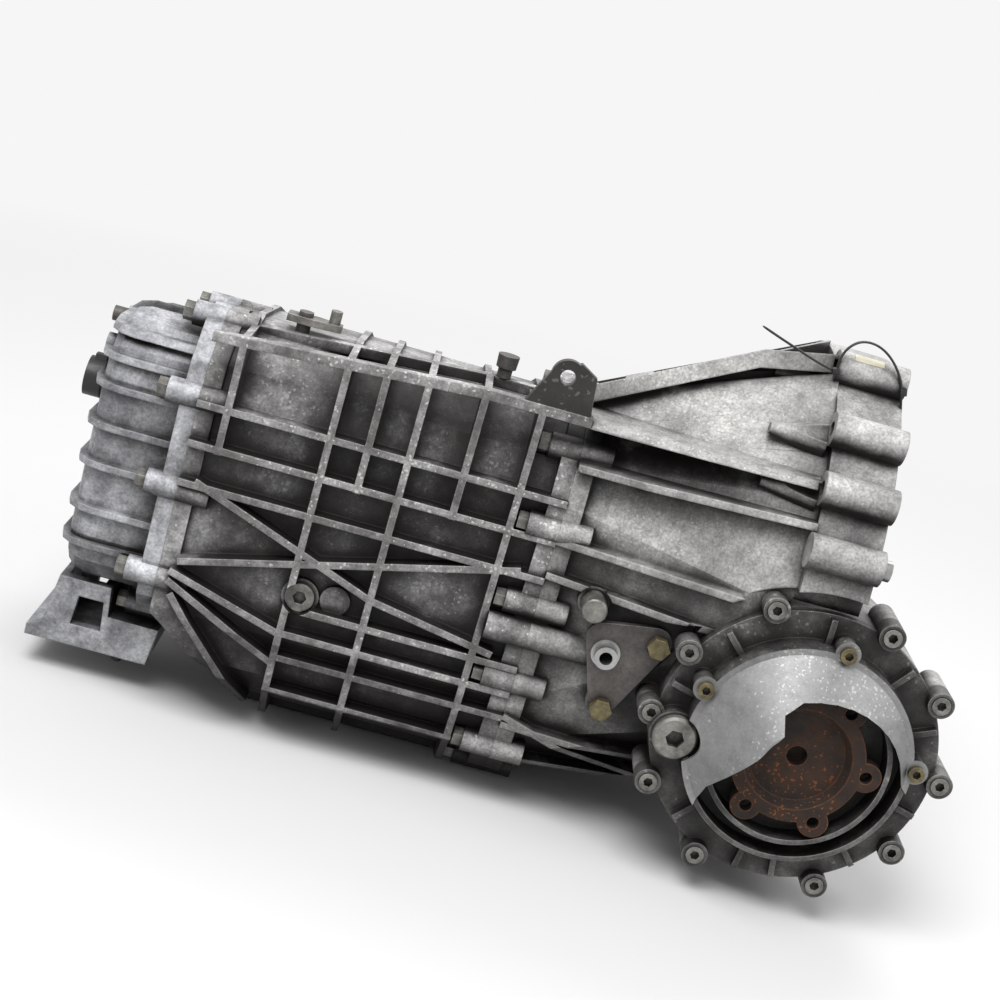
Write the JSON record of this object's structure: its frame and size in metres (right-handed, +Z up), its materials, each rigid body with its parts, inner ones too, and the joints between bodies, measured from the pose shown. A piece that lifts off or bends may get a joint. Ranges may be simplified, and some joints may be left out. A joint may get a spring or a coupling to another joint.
{
  "type": "vehicle transmission",
  "caption": "Longitudinal front-drive transaxle: ribbed cast gear case, bell-housing and rear cover, with a differential and drive flanges set across its engine end.",
  "frame": {"origin": "on the crank axis, in the plane of the engine's face, half way along the input shaft's pilot journal", "axes": "+X forward to the engine along the crank axis, +Y to the vehicle's left, +Z up"},
  "size_m": [0.6417, 0.396, 0.3736],
  "materials": {
    "cast_alloy": "as cast, stained with old oil",
    "shield_sheet": "pressed sheet",
    "plated_steel": "zinc plated, dull",
    "machined_steel": "turned",
    "gear_steel": "ground",
    "pressed_steel": "pressed",
    "bearing_steel": "ground",
    "cage_iron": "cast",
    "seal_rubber": "moulded",
    "black_plastic": "moulded"
  },
  "bodies": {
    "housing": {"bell_housing": "cast_alloy", "gear_case": "cast_alloy", "rear_cover": "cast_alloy", "differential_cover": "cast_alloy", "heat_shield": "shield_sheet", "seam_bolts": "plated_steel", "side_cover_bolts": "plated_steel", "shield_screws": "plated_steel", "dowel_sleeves": "machined_steel", "filler_plug": "plated_steel", "level_plug": "plated_steel", "drain_plug": "plated_steel", "port_plate": "plated_steel", "port_socket": "plated_steel", "port_plate_bolts": "plated_steel", "stub_plug": "black_plastic", "shaft_seals": "seal_rubber", "cage_bearings": "bearing_steel", "pinion_bearing_front": "bearing_steel", "pinion_bearing_rear": "bearing_steel", "carrier_bearing": "bearing_steel", "input_bearing_rear": "bearing_steel", "input_seal": "seal_rubber", "ring_gear": "gear_steel", "oil_pump_body": "cast_alloy", "valve_body": "cast_alloy", "electrical_connector": "black_plastic", "vent_tube": "machined_steel", "lifting_eye": "plated_steel", "breather_post": "black_plastic", "rear_mount_bracket": "pressed_steel", "mount_rubber": "seal_rubber", "mount_stud": "plated_steel"},
    "differential": {"differential_cage": "cage_iron", "crown_wheel": "gear_steel", "cross_pin": "machined_steel"},
    "right_output": {"flange_shaft_right": "machined_steel", "side_gear_right": "gear_steel"},
    "left_output": {"flange_shaft_left": "machined_steel", "side_gear_left": "gear_steel"},
    "spider_upper": {"spider_gear_upper": "gear_steel"},
    "spider_lower": {"spider_gear_lower": "gear_steel"},
    "pinion": {"pinion_shaft": "machined_steel", "transfer_driven_gear": "gear_steel"},
    "planet_carrier": {"planet_carrier": "pressed_steel", "planet_pins": "machined_steel", "transfer_drive_gear": "gear_steel"},
    "planet_1": {"planet_gear_1": "gear_steel"},
    "planet_2": {"planet_gear_2": "gear_steel"},
    "planet_3": {"planet_gear_3": "gear_steel"},
    "input": {"input_shaft": "machined_steel", "sun_gear": "gear_steel", "front_clutch_drum": "pressed_steel", "rear_clutch_drum": "pressed_steel", "clutch_plates": "pressed_steel", "oil_pump_rotor": "machined_steel"},
    "selector": {"selector_shaft": "machined_steel", "selector_lever": "plated_steel"}
  },
  "joints": [
    {"name": "differential_spin", "type": "hinge", "parent": "housing", "child": "differential", "pos_m": [-0.014, 0, -0.08], "axis": [0, 1, 0], "continuous": true},
    {"name": "pinion_spin", "type": "hinge", "parent": "housing", "child": "pinion", "pos_m": [-0.15, -0.06247, -0.08], "axis": [1, 0, 0], "continuous": true},
    {"name": "carrier_spin", "type": "hinge", "parent": "housing", "child": "planet_carrier", "pos_m": [-0.25, 0, 0], "axis": [1, 0, 0], "continuous": true},
    {"name": "input_spin", "type": "hinge", "parent": "housing", "child": "input", "pos_m": [-0.1, 0, 0], "axis": [1, 0, 0], "continuous": true},
    {"name": "right_output_spin", "type": "hinge", "parent": "differential", "child": "right_output", "pos_m": [-0.014, -0.1, -0.08], "axis": [0, 1, 0], "continuous": true},
    {"name": "left_output_spin", "type": "hinge", "parent": "differential", "child": "left_output", "pos_m": [-0.014, 0.1, -0.08], "axis": [0, 1, 0], "continuous": true},
    {"name": "spider_upper_spin", "type": "hinge", "parent": "differential", "child": "spider_upper", "pos_m": [-0.014, -0.064, -0.08], "axis": [0, 0, 1], "continuous": true},
    {"name": "spider_lower_spin", "type": "hinge", "parent": "differential", "child": "spider_lower", "pos_m": [-0.014, -0.064, -0.08], "axis": [0, 0, 1], "continuous": true},
    {"name": "selector_turn", "type": "hinge", "parent": "housing", "child": "selector", "pos_m": [-0.409, -0.066, 0.09], "axis": [0, 0, 1], "range_deg": [-30, 30]},
    {"name": "planet_1_spin", "type": "hinge", "parent": "planet_carrier", "child": "planet_1", "pos_m": [-0.289, 0, 0.0408], "axis": [1, 0, 0], "continuous": true},
    {"name": "planet_2_spin", "type": "hinge", "parent": "planet_carrier", "child": "planet_2", "pos_m": [-0.289, -0.03533, -0.0204], "axis": [1, 0, 0], "continuous": true},
    {"name": "planet_3_spin", "type": "hinge", "parent": "planet_carrier", "child": "planet_3", "pos_m": [-0.289, 0.03533, -0.0204], "axis": [1, 0, 0], "continuous": true}
  ],
  "couplings": [
    {"joint": "pinion_spin", "follows": "differential_spin", "ratio": -4.1111},
    {"joint": "carrier_spin", "follows": "differential_spin", "ratio": 2.5123},
    {"joint": "input_spin", "follows": "differential_spin", "ratio": 8.542},
    {"joint": "left_output_spin", "follows": "right_output_spin", "ratio": -1},
    {"joint": "spider_upper_spin", "follows": "right_output_spin", "ratio": 1.6},
    {"joint": "spider_lower_spin", "follows": "right_output_spin", "ratio": -1.6},
    {"joint": "planet_1_spin", "follows": "differential_spin", "ratio": -8.6138},
    {"joint": "planet_2_spin", "follows": "differential_spin", "ratio": -8.6138},
    {"joint": "planet_3_spin", "follows": "differential_spin", "ratio": -8.6138}
  ]
}
